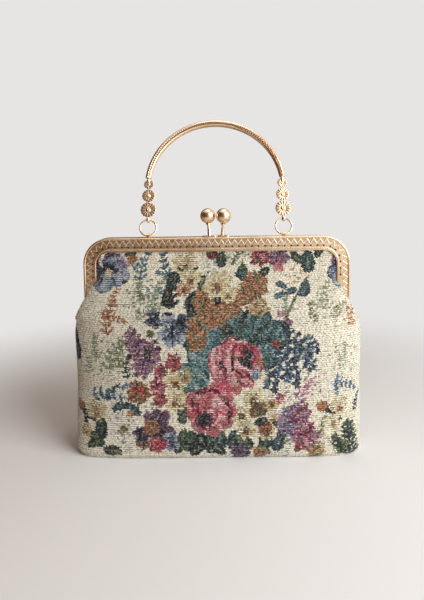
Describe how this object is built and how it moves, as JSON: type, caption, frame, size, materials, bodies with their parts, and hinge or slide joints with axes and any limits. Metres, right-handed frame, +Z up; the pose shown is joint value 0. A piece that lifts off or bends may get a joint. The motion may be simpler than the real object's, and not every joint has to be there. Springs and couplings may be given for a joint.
{
  "type": "clasp frame handbag",
  "caption": "Floral tapestry handbag on a hinged gold metal frame, with a kiss-lock ball clasp and a ringed arch handle with rosette ends.",
  "frame": {"origin": "centre of the base, on the surface it stands on", "axes": "+Z up, front of the bag towards -Y, +X to the viewer's right"},
  "size_m": [0.222, 0.063, 0.2549],
  "materials": {
    "gold_metal": "pale gold plate, satin",
    "tapestry": "woven floral tapestry",
    "lining": "plain satin",
    "thread": "twisted thread",
    "board": "grey board"
  },
  "bodies": {
    "bag": {"front_panel": "tapestry", "rear_panel": "tapestry", "front_fold": "tapestry", "rear_fold": "tapestry", "front_lining": "lining", "rear_lining": "lining", "front_lining_fold": "lining", "rear_lining_fold": "lining", "base_board": "board"},
    "front_half": {"front_frame": "gold_metal", "left_rivet": "gold_metal", "right_rivet": "gold_metal", "front_clasp_stem": "gold_metal", "front_clasp_ball": "gold_metal", "front_stitching": "thread", "front_yoke": "tapestry", "front_lining_yoke": "lining"},
    "rear_half": {"rear_frame": "gold_metal", "rear_clasp_stem": "gold_metal", "rear_clasp_ball": "gold_metal", "left_ear": "gold_metal", "right_ear": "gold_metal", "rear_stitching": "thread", "rear_yoke": "tapestry", "rear_lining_yoke": "lining"},
    "left_ring": {"left_ring": "gold_metal"},
    "right_ring": {"right_ring": "gold_metal"},
    "handle": {"handle_arch": "gold_metal", "left_rosette_strip": "gold_metal", "right_rosette_strip": "gold_metal"}
  },
  "joints": [
    {"name": "front_half_hinge", "type": "hinge", "parent": "bag", "child": "front_half", "pos_m": [0, 0, 0.114], "axis": [1, 0, 0], "range_deg": [0, 45], "deforming": ["front_fold", "front_lining_fold"]},
    {"name": "rear_half_hinge", "type": "hinge", "parent": "bag", "child": "rear_half", "pos_m": [0, 0, 0.114], "axis": [1, 0, 0], "range_deg": [-45, 0], "deforming": ["rear_fold", "rear_lining_fold"]},
    {"name": "left_ring_swing", "type": "hinge", "parent": "rear_half", "child": "left_ring", "pos_m": [-0.053, 0.00225, 0.163], "axis": [1, 0, 0], "range_deg": [-54, 86]},
    {"name": "right_ring_swing", "type": "hinge", "parent": "rear_half", "child": "right_ring", "pos_m": [0.053, 0.00225, 0.163], "axis": [1, 0, 0], "range_deg": [-54, 86]},
    {"name": "handle_swing", "type": "hinge", "parent": "left_ring", "child": "handle", "pos_m": [-0.053, 0.00575, 0.17521], "axis": [1, 0, 0], "range_deg": [-52, 52]}
  ],
  "couplings": [
    {"joint": "rear_half_hinge", "follows": "front_half_hinge", "ratio": -1},
    {"joint": "right_ring_swing", "follows": "left_ring_swing", "ratio": 1}
  ]
}
